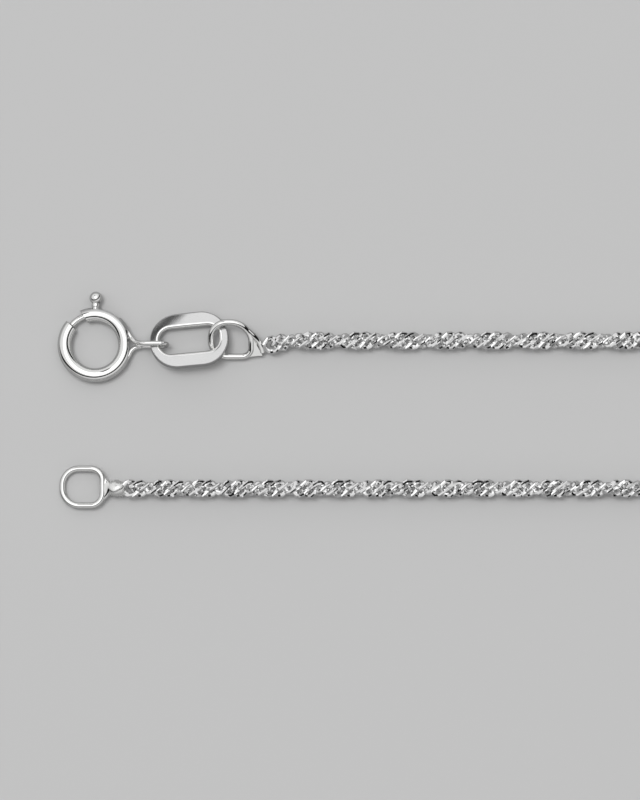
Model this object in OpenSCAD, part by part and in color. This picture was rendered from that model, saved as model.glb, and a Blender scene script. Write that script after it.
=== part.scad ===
// Fine twisted curb (singapore) chain necklace with a spring ring clasp.
// It lies unclasped on a flat surface, both ends at -X, the clasp end above the tail end.
// Millimetres. +X runs from the two ends to the far side of the loop, +Y from the tail
// end to the clasp end, and +Z up from the surface. The origin is on the surface, under
// the middle of the whole piece.

/* [Necklace] */
// Length of the whole necklace along its middle, from the ring's edge to the tail's edge
necklace_l = 457.2; // [420:0.1:610]
// Distance between the two straight runs
run_gap = 10.87; // [9:0.01:16]
// Length of each straight run, measured from the left end
run_l = 45; // [30:0.5:60]
// Radius of the two bends where the runs open out
flare_r = 30; // [20:0.5:40]
// Height and width of the chain
chain_w = 1.4; // [1.1:0.05:1.7]

/* [Spring ring] */
// Outer diameter of the ring
ring_d = 5.5; // [5:0.1:7]
// Diameter of the ring's tube
tube_d = 1.04; // [0.95:0.01:1.25]
// Diameter of the bore in the tube
bore_d = 0.56; // [0.52:0.01:0.66]
// Diameter of the curved bolt
bolt_d = 0.44; // [0.36:0.01:0.46]
// Angle of the middle of the gap's upper end
gap_top_a = 111.3; // [106:0.1:114]
// Angle of the middle of the gap's lower end
gap_low_a = 140.4; // [134:0.1:150]
// Angle of the trigger when the clasp is shut
trigger_a = 88.8; // [84:0.1:92]
// Angle that the trigger is drawn back to open the clasp
trigger_travel = 34; // [28:0.5:40]
// Diameter of the trigger's stem
stem_d = 0.5; // [0.4:0.01:0.58]
// Diameter of the trigger's knob
knob_d = 0.94; // [0.7:0.01:1.2]
// Distance of the knob's centre outside the ring
knob_out = 0.7; // [0.6:0.01:0.9]

/* [Eyelet] */
// Diameter of the eyelet's wire
eyelet_wire = 0.35; // [0.28:0.01:0.42]
// Reach of the eyelet beyond the ring
eyelet_reach = 2.73; // [2.5:0.01:3.4]

/* [Oval link] */
// Length of the flat oval link
link_l = 5.78; // [5:0.01:7]
// Width of the flat oval link
link_w = 4.08; // [3.6:0.01:4.9]
// Thickness of the flat oval link
link_t = 0.6; // [0.45:0.01:0.75]
// Width of the rim along the sides
rim_side = 1.08; // [0.9:0.01:1.2]
// Width of the rim at the ends
rim_end = 0.72; // [0.6:0.01:0.85]
// Turn of the link away from the run, seen from above
link_turn = 5.5; // [0:0.5:8]

/* [End loops] */
// Length of each end loop along its wire's middle
loop_l = 2.98; // [2.7:0.01:3.6]
// Width of each end loop along its wire's middle
loop_w = 2.72; // [2.5:0.01:3.3]
// Diameter of the end loops' wire
loop_wire = 0.46; // [0.36:0.01:0.52]
// Radius of the loop's far corners, at the wire's middle
far_r = 1.22; // [0.8:0.01:1.24]
// Radius of the loop's near corners, at the wire's middle
near_r = 0.9; // [0.6:0.01:1.1]
// Length of the flat neck at the clasp end
web_l = 0.98; // [0.8:0.01:1.3]
// Width of the lump of solder at the tail
lump_d = 1.28; // [1.1:0.01:1.36]
// Length of the lump of solder at the tail
lump_l = 1.25; // [1:0.01:1.6]

/* [Hidden] */
$fn = 48;

// Clearances: around pieces that hang in each other, where the chain meets an end, and
// above the surface. A rod's round end is a little thicker than the rod, and cutting
// shapes run past what they cut.
play = 0.05;
pass_play = 0.12;
joint_gap = 0.03;
floor_gap = 0.01;
end_spare = 0.02;
over = 1;

function polar(r, a) = [r * cos(a), r * sin(a)];
function lift(p, z) = [p[0], p[1], z];

// Route of the chain: straight run, outward bend, wide bend, and the same mirrored.
// The wide bend's radius follows from the necklace's length.
run_y = run_gap / 2;
function flare_angle(r) = acos((run_y + flare_r) / (flare_r + r));
function half_length(r) =
    run_l + (flare_r * flare_angle(r) + r * (flare_angle(r) + 90)) * PI / 180;
function solved_r(r, tries) = tries == 0 ? r : solved_r(r * (necklace_l / 2 - run_l)
    / (half_length(r) - run_l), tries - 1);
neck_r = solved_r(55, 30);
flare_a = flare_angle(neck_r);
neck_x = run_l + (flare_r + neck_r) * sin(flare_a);
overall_l = neck_x + neck_r + chain_w / 2;

// Spring ring: its left edge is the left end of the necklace
ring_r = ring_d / 2;
tube_r = ring_r - tube_d / 2;
ring_drop = 0.31;
ring_y = run_y - ring_drop;
ring_z = tube_d / 2;
gap_top_skew = 12.4;
gap_low_skew = -4.5;
gap_cut = 0.9 * tube_d;
bolt_heel_a = 9;
bolt_seat_a = 3;
bolt_back_a = trigger_a - bolt_heel_a;
bolt_tip_a = gap_low_a + bolt_seat_a;
slot_h = stem_d + 2 * play;
slot_spare_a = 1.5;
stem_half_a = asin(stem_d / 2 / tube_r);
slot_from_a = trigger_a - trigger_travel - stem_half_a - slot_spare_a;
slot_to_a = trigger_a + stem_half_a + slot_spare_a;
flat_depth = 0.15;

// Eyelet: one wire from the ring's flat side, round the loop and back. Each arm has its
// root in the flat side, a foot, and the place where it has risen to the loop, as
// [x beyond the ring's side, y, z]. The loop's end is bent in equal steps.
eyelet_sides = 12;
eyelet_steps = 10;
arm_top = [[-0.2, 0.66, 0.04], [0.02, 0.5, 0.1], [0.24, 0.28, 0.24], [0.48, 0.13, 0.5]];
arm_low = [[-0.2, -0.62, 0], [0.02, -0.45, -0.02], [0.26, -0.22, -0.08], [0.5, -0.12, -0.2]];
rise_x = ring_r + 0.86;

// Tilts of the oval link and the end loop that hangs in it: enough between the two for
// the wire to pass through the hole, clear of both edges
hole_w = link_w - 2 * rim_side;
hole_l = link_l - 2 * rim_end;
pass_a = atan(link_t / hole_w)
    + asin((loop_wire + 2 * pass_play) / sqrt(hole_w * hole_w + link_t * link_t));
link_share = 0.42;
link_roll = -link_share * pass_a;
loop_tilt = (1 - link_share) * pass_a;

// Oval link: it rests on its upper edge, its left rim in the eyelet
hole_r = 0.42 * hole_w;
link_z = floor_gap - link_w / 2 * sin(link_roll) + link_t / 2 * cos(link_roll);
eyelet_in_r = (link_t / cos(link_roll) + 2 * play) / 2;
eyelet_mid_r = eyelet_in_r + eyelet_wire / 2;
eyelet_end_x = ring_d + eyelet_reach - eyelet_wire - eyelet_in_r;
link_left_x = eyelet_end_x - rim_end + play / 2;
link_x = link_left_x + link_l / 2 * cos(link_turn);
link_y = run_y + 0.04;
eyelet_y = link_y - link_l / 2 * sin(link_turn) - play;
eyelet_skew = 11;

// Clasp end loop: its far side stands in the link's hole, a little short of the hole's end
loop_slack = 0.34;
loop_side_x = link_x + (link_l / 2 - rim_end) * cos(link_turn) - loop_slack - loop_wire / 2;
loop_x = loop_side_x + loop_l / 2;
loop_y = run_y + 0.09;
loop_lift = 0.05;
loop_z = link_z + loop_lift
    + (loop_y - link_y - (loop_side_x - link_x) * tan(link_turn)) * tan(loop_tilt);
chain_from_x = loop_x + loop_l / 2 + web_l + joint_gap;

// Flat neck of the clasp end loop, measured from its near lower corner: how far the neck
// reaches back under the loop, its width where the chain starts, and its lowest edge
web_t = 0.34;
web_back = 0.35;
web_end_w = 1.08;
web_end_y = 0.12 - loop_w / 2;
web_slope = 0.1;
web_top_y = loop_w / 2 - 0.6;
strand_d = 0.4;
strand_z = 0.04;
strand_short = 0.26;
chain_drop = 0.38;

// Tail end loop: it slopes down from its lump of solder until its far side rests
tail_inset = 0.1;
tail_neck_l = 0.4;
tail_l = loop_l + tail_neck_l + lump_l;
tail_z = lump_d / 2 + 0.09;
lump_from_d = lump_d - 0.2;
lump_end_d = 0.9;
lump_shares = [0.3, 0.35, 0.35];
tail_slope = asin((tail_z - loop_wire / 2 - floor_gap) / tail_l);
tail_end_x = tail_inset + loop_wire / 2 + tail_l;
neck_t = 0.4;
neck_back = 0.15;
neck_into = 0.2;
neck_top_y = loop_w / 2 - 0.42;
neck_low_y = 0.6 - loop_w / 2;
neck_end_w = lump_d - 0.08;
loop_rise = 0.1;
chain_to_x = tail_end_x + joint_gap + lump_end_d / 2 * sin(tail_slope);

// A rod from a to b
module rod(a, b, d) {
    v = b - a;
    translate(a)
        rotate([0, acos(v[2] / norm(v)), atan2(v[1], v[0])])
            cylinder(d = d, h = norm(v));
}

// A quarter or half turn of wire about the Z axis
module wire_arc(r, from_a, sweep, d) {
    rotate([0, 0, from_a])
        rotate_extrude(angle = sweep)
            translate([r, 0]) circle(d = d);
}

// The gap in the ring, between two cuts that lean away from the radius
function cut_end(a, skew, side) = polar(tube_r, a) + polar(side * gap_cut, a + skew);

module ring_gap() {
    translate([0, 0, -tube_d])
        linear_extrude(2 * tube_d)
            polygon([
                cut_end(gap_top_a, gap_top_skew, -1), cut_end(gap_top_a, gap_top_skew, 1),
                cut_end(gap_low_a, gap_low_skew, 1), cut_end(gap_low_a, gap_low_skew, -1)
            ]);
}

// The slot in the outer wall that the trigger's stem runs in
module stem_slot() {
    rotate([0, 0, slot_from_a])
        rotate_extrude(angle = slot_to_a - slot_from_a)
            translate([tube_r, -slot_h / 2]) square([tube_d, slot_h]);
}

// A closed tube through rings of n corners each, one ring after the other
module tube(corners, n) {
    last = len(corners) - n;
    walls = [for (k = [0 : n : last - n], i = [0 : n - 1])
        let (a = k + i, b = k + (i + 1) % n)
            each [[a, b + n, b], [a, a + n, b + n]]];
    caps = [[for (i = [0 : n - 1]) i], [for (i = [n - 1 : -1 : 0]) last + i]];
    polyhedron(corners, concat(walls, caps));
}

// A wire swept through a list of points. Each ring of corners stands across the way there,
// turned about the Y axis, which the wire never follows.
function unit(v) = v / norm(v);
function way_at(points, i) =
    unit(points[min(i + 1, len(points) - 1)] - points[max(i - 1, 0)]);
function ring_of_corners(p, way, d) = let (u = unit(cross(way, [0, 1, 0])), v = cross(way, u))
    [for (k = [0 : eyelet_sides - 1]) let (a = 360 * k / eyelet_sides)
        p + d / 2 * (cos(a) * u + sin(a) * v)];

module swept_wire(points, d) {
    tube([for (i = [0 : len(points) - 1]) each ring_of_corners(points[i], way_at(points, i), d)],
        eyelet_sides);
}

// The eyelet's wire, in the ring's own frame: the upper arm, the upright loop leaning by
// its skew, and the lower arm
module eyelet() {
    mid_z = link_z - ring_z;
    end_x = eyelet_end_x - ring_r;
    end_y = eyelet_y - ring_y;
    function on_loop(x, a) = [x, end_y + eyelet_mid_r * sin(eyelet_skew) * cos(a),
        mid_z + eyelet_mid_r * cos(eyelet_skew) * cos(a)];
    function arm(bends) = [for (b = bends) b + [ring_r, 0, 0]];
    bend = [for (k = [0 : eyelet_steps]) let (a = 180 * k / eyelet_steps)
        on_loop(end_x + eyelet_mid_r * sin(a), a)];
    low = arm(arm_low);
    points = concat(arm(arm_top), [on_loop(rise_x, 0)], bend, [on_loop(rise_x, 180)],
        [for (i = [len(low) - 1 : -1 : 0]) low[i]]);
    swept_wire(points, eyelet_wire);
}

// The ring's hollow tube, filed flat where the eyelet is soldered on
module ring_shell() {
    difference() {
        wire_arc(tube_r, 0, 360, tube_d);
        ring_gap();
        translate([ring_r - flat_depth, -over, -tube_d]) cube([over, 2 * over, 2 * tube_d]);
        wire_arc(tube_r, 0, 360, bore_d);
        stem_slot();
    }
}

module clasp_ring() {
    color("silver")
        translate([ring_r, ring_y, ring_z]) {
            ring_shell();
            eyelet();
        }
}

module clasp_bolt() {
    color("gainsboro")
        translate([ring_r, ring_y, ring_z]) {
            wire_arc(tube_r, bolt_back_a, bolt_tip_a - bolt_back_a, bolt_d);
            rod(lift(polar(tube_r, trigger_a), 0), lift(polar(ring_r + knob_out, trigger_a), 0), stem_d);
            translate(polar(ring_r + knob_out, trigger_a)) sphere(d = knob_d);
        }
}

// A flat plate with half-round ends
module round_ended(l, w, t) {
    translate([0, 0, -t / 2]) {
        for (side = [-1, 1]) translate([side * (l - w) / 2, 0, 0]) cylinder(d = w, h = t);
        translate([-(l - w) / 2, -w / 2, 0]) cube([l - w, w, t]);
    }
}

// A flat plate with four round corners
module round_cornered(l, w, r, t) {
    translate([0, 0, -t / 2]) {
        for (sx = [-1, 1], sy = [-1, 1])
            translate([sx * (l / 2 - r), sy * (w / 2 - r), 0]) cylinder(r = r, h = t);
        translate([-l / 2 + r, -w / 2, 0]) cube([l - 2 * r, w, t]);
        translate([-l / 2, -w / 2 + r, 0]) cube([l, w - 2 * r, t]);
    }
}

module oval_link() {
    color("lightgray")
        translate([link_x, link_y, link_z])
            rotate([0, 0, link_turn])
                rotate([link_roll, 0, 0])
                    difference() {
                        round_ended(link_l, link_w, link_t);
                        round_cornered(hole_l, hole_w, hole_r, link_t + over);
                    }
}

// An end loop's wire, flat, centred, with its near side at +X
module wire_loop() {
    hl = loop_l / 2;
    hw = loop_w / 2;
    for (side = [-1, 1]) {
        rod([-hl + far_r, side * hw, 0], [hl - near_r, side * hw, 0], loop_wire);
        translate([-hl + far_r, side * (hw - far_r), 0])
            wire_arc(far_r, side > 0 ? 90 : 180, 90, loop_wire);
        translate([hl - near_r, side * (hw - near_r), 0])
            wire_arc(near_r, side > 0 ? 0 : 270, 90, loop_wire);
    }
    rod([-hl, -hw + far_r, 0], [-hl, hw - far_r, 0], loop_wire);
    rod([hl, -hw + near_r, 0], [hl, hw - near_r, 0], loop_wire);
}

// The flat neck of the clasp end loop, and the wire's end laid along its upper edge
module folded_web() {
    side_x = loop_l / 2;
    corner = near_r * (1 - cos(45));
    translate([0, 0, -web_t / 2])
        linear_extrude(web_t)
            polygon([
                [side_x - loop_wire / 2, web_top_y], [side_x + web_l, web_end_y + web_end_w],
                [side_x + web_l, web_end_y], [side_x - web_back, web_end_y - web_slope]
            ]);
    strand_end = [side_x + web_l - strand_short, web_end_y + web_end_w - strand_z, strand_z];
    rod([side_x - corner, loop_w / 2 - corner, strand_z], strand_end, strand_d);
    translate(strand_end) sphere(d = strand_d + end_spare);
}

module end_loop_clasp() {
    color("silver")
        translate([loop_x, loop_y, loop_z])
            rotate([loop_tilt, 0, 0]) {
                wire_loop();
                folded_web();
            }
}

// The short flat neck between the tail's loop and its lump, about the loop's centre
module flared_neck(from_x, to_x) {
    translate([0, 0, -neck_t / 2])
        linear_extrude(neck_t)
            polygon([
                [from_x, neck_top_y], [to_x, neck_end_w / 2],
                [to_x, -neck_end_w / 2], [from_x, neck_low_y]
            ]);
}

// A lump of solder, fullest in its middle, along +X
module solder_lump() {
    l = lump_l * lump_shares;
    rotate([0, 90, 0]) {
        cylinder(d1 = lump_from_d, d2 = lump_d, h = l[0]);
        translate([0, 0, l[0]]) cylinder(d = lump_d, h = l[1]);
        translate([0, 0, l[0] + l[1]]) cylinder(d1 = lump_d, d2 = lump_end_d, h = l[2]);
    }
}

module end_loop_tail() {
    side_x = loop_l / 2;
    color("silver")
        translate([tail_end_x, -run_y, tail_z])
            rotate([0, -tail_slope, 0])
                translate([side_x - tail_l, 0, 0]) {
                    translate([0, loop_rise, 0]) wire_loop();
                    flared_neck(side_x - neck_back, side_x + tail_neck_l + neck_into);
                    translate([side_x + tail_neck_l, 0, 0]) solder_lump();
                }
}

// The chain's outer form: a tube of eight flat sides that rests on one of them
chain_sides = 8;
chain_out_r = chain_w / 2 / cos(180 / chain_sides);
flare_steps = 7;
neck_steps = 27;

// The chain leaves the clasp end's neck a little low: points [x past the neck, drop, direction]
chain_start = [[0, chain_drop, 0], [1.4, 0.07, 8], [2.9, 0, 0]];

// One route point is [x, y, direction]
function flare_point(k) = let (a = flare_a * k / flare_steps)
    [run_l + flare_r * sin(a), run_y + flare_r * (1 - cos(a)), a];
function neck_point(k) = let (a = flare_a - (flare_a + 90) * k / neck_steps)
    [neck_x - neck_r * sin(a), neck_r * cos(a), a];
clasp_side = concat(
    [for (p = chain_start) [chain_from_x + p[0], run_y - p[1], p[2]]],
    [for (k = [0 : flare_steps - 1]) flare_point(k)],
    [for (k = [0 : neck_steps - 1]) neck_point(k)]
);
tail_side = concat(
    [for (k = [neck_steps : -1 : 0]) neck_point(k)],
    [for (k = [flare_steps - 1 : -1 : 0]) flare_point(k)],
    [[chain_to_x, run_y, 0]]
);
function mirrored(p) = [p[0], -p[1], 180 - p[2]];
route = concat(clasp_side, [for (p = tail_side) mirrored(p)]);

module chain() {
    color("silver")
        tube([for (p = route, i = [0 : chain_sides - 1])
            let (t = 360 * (i + 0.5) / chain_sides)
                [p[0] - chain_out_r * cos(t) * sin(p[2]), p[1] + chain_out_r * cos(t) * cos(p[2]),
                    chain_w / 2 + chain_out_r * sin(t)]],
            chain_sides);
}

module placed() {
    translate([-overall_l / 2, 0, 0]) children();
}

placed() clasp_ring();
placed() clasp_bolt();
placed() oval_link();
placed() end_loop_clasp();
placed() chain();
placed() end_loop_tail();
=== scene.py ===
"""Looks of a fine singapore chain necklace with a spring ring clasp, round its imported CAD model.

Sizes are in millimetres and degrees unless a name says otherwise, and each finished mesh is
written in metres, in the CAD model's own frame.
"""

import logging
import math
from dataclasses import dataclass
from enum import Enum
from typing import Callable, Iterable, Sequence

import bmesh
import bpy
from bpy.types import ID, Material, Mesh, Node, NodeOutputs, NodeSocket, NodeTree, Object
from mathutils import Matrix, Vector


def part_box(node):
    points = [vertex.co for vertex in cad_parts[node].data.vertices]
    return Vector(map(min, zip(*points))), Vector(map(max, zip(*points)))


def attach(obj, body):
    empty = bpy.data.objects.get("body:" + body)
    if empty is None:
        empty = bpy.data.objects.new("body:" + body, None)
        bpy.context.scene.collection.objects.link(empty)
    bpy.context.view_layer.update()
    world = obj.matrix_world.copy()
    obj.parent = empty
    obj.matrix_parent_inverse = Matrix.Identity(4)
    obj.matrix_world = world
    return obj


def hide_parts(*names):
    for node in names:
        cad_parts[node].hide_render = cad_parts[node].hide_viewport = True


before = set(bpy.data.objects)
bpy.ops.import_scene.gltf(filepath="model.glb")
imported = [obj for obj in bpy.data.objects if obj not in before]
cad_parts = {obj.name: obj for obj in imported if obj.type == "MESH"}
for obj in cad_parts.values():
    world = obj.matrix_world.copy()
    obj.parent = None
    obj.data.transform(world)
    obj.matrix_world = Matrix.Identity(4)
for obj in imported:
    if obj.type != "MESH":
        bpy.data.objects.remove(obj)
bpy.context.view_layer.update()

LOG = logging.getLogger("necklace")
MM = 0.001

Table = tuple[tuple[float, ...], ...]
Feeds = dict[str | int, object]


class Body(Enum):
    """The rigid bodies of the CAD model."""

    NECKLACE = "necklace"
    TRIGGER = "trigger"


def cos_deg(angle: float) -> float:
    """The cosine of an angle in degrees."""
    return math.cos(math.radians(angle))


def sin_deg(angle: float) -> float:
    """The sine of an angle in degrees."""
    return math.sin(math.radians(angle))


def polar(radius: float, angle: float, z: float = 0.0) -> Vector:
    """A point at a radius and an angle in degrees about the Z axis."""
    return Vector((radius * cos_deg(angle), radius * sin_deg(angle), z))


def smooth_step(value: float) -> float:
    """Eases a share from 0 to 1."""
    t = min(1.0, max(0.0, value))
    return t * t * (3.0 - 2.0 * t)


def between(a: float, b: float, steps: int) -> list[float]:
    """Values from a to b in equal steps, both ends included."""
    return [a + (b - a) * i / steps for i in range(steps + 1)]


def around(count: int) -> list[float]:
    """Angles in radians, in equal steps round a full turn."""
    return between(0, 2 * math.pi, count)[:-1]


@dataclass(frozen=True)
class Layout:
    """Driving sizes, as in the CAD model, and the places that follow from them.

    Every place is in the shared frame, in millimetres.
    """

    run_gap: float = 10.87
    run_l: float = 45.0
    flare_r: float = 30.0
    chain_w: float = 1.4
    ring_d: float = 5.5
    tube_d: float = 1.04
    link_l: float = 5.78
    link_w: float = 4.08
    link_t: float = 0.6
    rim_side: float = 1.08
    rim_end: float = 0.72
    link_turn: float = 5.5
    eyelet_wire: float = 0.35
    eyelet_reach: float = 2.73
    loop_l: float = 2.98
    loop_w: float = 2.72
    loop_wire: float = 0.46
    web_l: float = 0.98
    lump_d: float = 1.28
    lump_l: float = 1.25
    tail_inset: float = 0.1
    tail_neck_l: float = 0.4
    tail_rise: float = 0.09
    play: float = 0.05
    pass_play: float = 0.12
    joint_gap: float = 0.03
    floor_gap: float = 0.01
    link_share: float = 0.42
    loop_slack: float = 0.34
    loop_lift: float = 0.05
    loop_rise: float = 0.09

    @property
    def half_l(self) -> float:
        """Half the length of the whole necklace as it lies."""
        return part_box("chain")[1].x / MM

    @property
    def neck_r(self) -> float:
        """Radius of the wide bend, at the chain's middle."""
        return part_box("chain")[1].y / MM - self.chain_w / 2

    @property
    def flare_a(self) -> float:
        """Angle of the outward bends."""
        return math.degrees(math.acos((self.run_y + self.flare_r) / (self.flare_r + self.neck_r)))

    @property
    def run_y(self) -> float:
        """Distance of each straight run from the X axis."""
        return self.run_gap / 2

    @property
    def ring_centre(self) -> Vector:
        """Centre of the spring ring."""
        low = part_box("clasp_ring")[0] / MM
        return Vector((low.x + self.ring_d / 2, low.y + self.ring_d / 2, self.tube_d / 2))

    @property
    def hole_w(self) -> float:
        """Width of the oval link's hole."""
        return self.link_w - 2 * self.rim_side

    @property
    def pass_a(self) -> float:
        """Angle between the oval link and the end loop that passes through it."""
        clear = (self.loop_wire + 2 * self.pass_play) / math.hypot(self.hole_w, self.link_t)
        return math.degrees(math.atan(self.link_t / self.hole_w) + math.asin(clear))

    @property
    def link_roll(self) -> float:
        """Roll of the oval link about its long axis."""
        return -self.link_share * self.pass_a

    @property
    def loop_tilt(self) -> float:
        """Tilt of the clasp end loop about the chain's direction."""
        return (1 - self.link_share) * self.pass_a

    @property
    def link_centre(self) -> Vector:
        """Centre of the oval link."""
        low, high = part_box("oval_link")
        return (low + high) / 2 / MM

    @property
    def loop_centre(self) -> Vector:
        """Centre of the clasp end loop."""
        turn, link = math.radians(self.link_turn), self.link_centre
        side_x = (link.x + (self.link_l / 2 - self.rim_end) * math.cos(turn)
                  - self.loop_slack - self.loop_wire / 2)
        y = self.run_y + self.loop_rise
        fall = y - link.y - (side_x - link.x) * math.tan(turn)
        z = link.z + self.loop_lift + fall * math.tan(math.radians(self.loop_tilt))
        return Vector((side_x + self.loop_l / 2, y, z))

    @property
    def chain_start_x(self) -> float:
        """Where the chain leaves the clasp end's neck."""
        return self.loop_centre.x + self.loop_l / 2 + self.web_l + self.joint_gap

    @property
    def tail_l(self) -> float:
        """Length of the tail's end piece, from its far wire's middle to the chain."""
        return self.loop_l + self.tail_neck_l + self.lump_l

    @property
    def tail_z(self) -> float:
        """Height of the tail's end piece where the chain leaves it."""
        return self.lump_d / 2 + self.tail_rise

    @property
    def tail_slope(self) -> float:
        """Slope of the tail's end piece, down to where its loop rests."""
        drop = self.tail_z - self.loop_wire / 2 - self.floor_gap
        return math.degrees(math.asin(drop / self.tail_l))

    @property
    def tail_end_x(self) -> float:
        """Where the tail's lump of solder ends."""
        return self.tail_inset + self.loop_wire / 2 + self.tail_l - self.half_l

    @property
    def eyelet_end_x(self) -> float:
        """Middle of the eyelet's rounded end, from the ring's centre."""
        return self.ring_d / 2 + self.eyelet_reach - self.eyelet_wire - self.eyelet_in_r

    @property
    def eyelet_in_r(self) -> float:
        """Inner radius of the eyelet's rounded end."""
        return (self.link_t / cos_deg(self.link_roll) + 2 * self.play) / 2


class Draft:
    """A mesh being put together: points, faces and the number of each face's finish."""

    def __init__(self) -> None:
        """Starts with nothing in it."""
        self.points: list[Vector] = []
        self.faces: list[tuple[int, ...]] = []
        self.finishes: list[int] = []

    def row(self, points: Iterable[Vector]) -> list[int]:
        """Adds points.

        Args:
            points: the new points, in order.

        Returns:
            Their numbers.
        """
        start = len(self.points)
        self.points.extend(Vector(p) for p in points)
        return list(range(start, len(self.points)))

    def face(self, corners: Sequence[int], finish: int = 0) -> None:
        """Adds one face through numbered points."""
        self.faces.append(tuple(corners))
        self.finishes.append(finish)

    def bridge(self, a: Sequence[int], b: Sequence[int], closed: bool = True, finish: int = 0) -> None:
        """Joins two rows of as many points with a band of faces.

        Args:
            a: the first row.
            b: the second row.
            closed: whether the rows are rings.
            finish: the number of the faces' finish.
        """
        n = len(a)
        for i in range(n if closed else n - 1):
            j = (i + 1) % n
            self.face((a[i], a[j], b[j], b[i]), finish)

    def skin(self, rows: Sequence[Sequence[int]], closed: bool = False, finish: int = 0) -> None:
        """Joins a list of rings, and the last to the first where it is closed."""
        for a, b in zip(rows, rows[1:]):
            self.bridge(a, b, finish=finish)
        if closed:
            self.bridge(rows[-1], rows[0], finish=finish)

    def dome(self, ring: Sequence[int], tip: Vector, finish: int = 0) -> None:
        """Closes a ring with a fan of faces to a point."""
        (top,) = self.row([tip])
        n = len(ring)
        for i in range(n):
            self.face((ring[i], ring[(i + 1) % n], top), finish)

    def mesh(self, name: str, place: Matrix) -> Mesh:
        """Makes the mesh in metres, in place, with its faces pointing outwards.

        Args:
            name: the mesh's name.
            place: turns and moves the draft into the shared frame, in millimetres.

        Returns:
            The mesh.
        """
        mesh = bpy.data.meshes.new(name)
        mesh.from_pydata([(place @ p) * MM for p in self.points], [], self.faces)
        mesh.polygons.foreach_set("material_index", self.finishes)
        edit = bmesh.new()
        edit.from_mesh(mesh)
        bmesh.ops.remove_doubles(edit, verts=edit.verts, dist=1e-8)
        bmesh.ops.recalc_face_normals(edit, faces=edit.faces)
        edit.to_mesh(mesh)
        edit.free()
        return mesh


def shade(mesh: Mesh, crease: float) -> None:
    """Shades a mesh smooth, with a sharp edge wherever two faces meet at more than an angle.

    Args:
        mesh: the mesh.
        crease: the angle in degrees.
    """
    edit = bmesh.new()
    edit.from_mesh(mesh)
    for part in edit.faces:
        part.smooth = True
    limit = math.radians(crease)
    for edge in edit.edges:
        edge.smooth = len(edge.link_faces) == 2 and edge.calc_face_angle() < limit
    edit.to_mesh(mesh)
    edit.free()


def put(name: str, data: ID) -> Object:
    """Makes an object of a mesh, curve, light or camera and puts it in the scene."""
    thing = bpy.data.objects.new(name, data)
    bpy.context.scene.collection.objects.link(thing)
    return thing


def show(
    mesh: Mesh,
    node: str,
    body: Body,
    finishes: Sequence[Material],
    crease: float = 32.0,
) -> Object:
    """Makes a finished piece of a mesh that stands for a CAD node.

    Args:
        mesh: the mesh, in metres and in place.
        node: the CAD node that it replaces.
        body: the body that it rides on.
        finishes: its materials, in the order of its faces' numbers.
        crease: the angle in degrees past which an edge is sharp.

    Returns:
        The piece.
    """
    if not mesh.materials:
        for finish in finishes:
            mesh.materials.append(finish)
    shade(mesh, crease)
    piece = put(mesh.name, mesh)
    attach(piece, body.value)
    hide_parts(node)
    LOG.info("%s: %d faces, stands for %s", piece.name, len(mesh.polygons), node)
    return piece


def sweep(
    draft: Draft,
    path: Sequence[Vector],
    radius: Callable[[float], float],
    up: Vector,
    closed: bool = False,
    sides: int = 20,
    finish: int = 0,
) -> None:
    """Sweeps a round wire along a path.

    Args:
        draft: takes the faces.
        path: the wire's middle.
        radius: gives the radius at a share of the path.
        up: a direction that the path never follows.
        closed: whether the path is a ring.
        sides: corners round the wire.
        finish: the number of the faces' finish.
    """
    n = len(path)
    rows = []
    for i, point in enumerate(path):
        before, after = (path[i - 1], path[(i + 1) % n]) if closed else (
            path[max(i - 1, 0)], path[min(i + 1, n - 1)])
        way = (after - before).normalized()
        across = way.cross(up).normalized()
        lift = across.cross(way)
        r = radius(i / (n - 1))
        rows.append(draft.row(
            point + r * (math.cos(a) * across + math.sin(a) * lift)
            for a in around(sides)))
    draft.skin(rows, closed, finish)
    if not closed:
        for ring, point in ((rows[0], path[0]), (rows[-1], path[-1])):
            draft.dome(ring, point, finish)


def rounded(points: Sequence[Vector], steps: int) -> list[Vector]:
    """A smooth curve through a list of points.

    Args:
        points: the points that the curve passes through.
        steps: the number of steps between two of them.

    Returns:
        The curve's points.
    """
    out = []
    for i in range(len(points) - 1):
        a, b = points[max(i - 1, 0)], points[i]
        c, d = points[i + 1], points[min(i + 2, len(points) - 1)]
        for k in range(steps):
            t = k / steps
            out.append(0.5 * (2 * b + (c - a) * t + (2 * a - 5 * b + 4 * c - d) * t ** 2
                              + (3 * b - a - 3 * c + d) * t ** 3))
    out.append(points[-1])
    return out


def rounded_box(
    length: float, width: float, radii: Sequence[float], arc_steps: int = 16, side_steps: int = 6
) -> list[Vector]:
    """The outline of a rectangle with round corners, about its middle.

    Args:
        length: its size along X.
        width: its size along Y.
        radii: the corners' radii, from the one at +X +Y on, anticlockwise.
        arc_steps: steps in each corner.
        side_steps: steps along each side.

    Returns:
        The outline's points, anticlockwise, with as many for any sizes.
    """
    signs = ((1, 1), (-1, 1), (-1, -1), (1, -1))
    middles = [Vector((sx * (length / 2 - r), sy * (width / 2 - r), 0))
               for (sx, sy), r in zip(signs, radii)]
    out = []
    for k, (middle, r) in enumerate(zip(middles, radii)):
        arc = [middle + polar(r, 90 * k + a) for a in between(0, 90, arc_steps)]
        following = middles[(k + 1) % 4] + polar(radii[(k + 1) % 4], 90 * (k + 1))
        out += arc
        out += [arc[-1].lerp(following, i / side_steps) for i in range(1, side_steps)]
    return out


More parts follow.
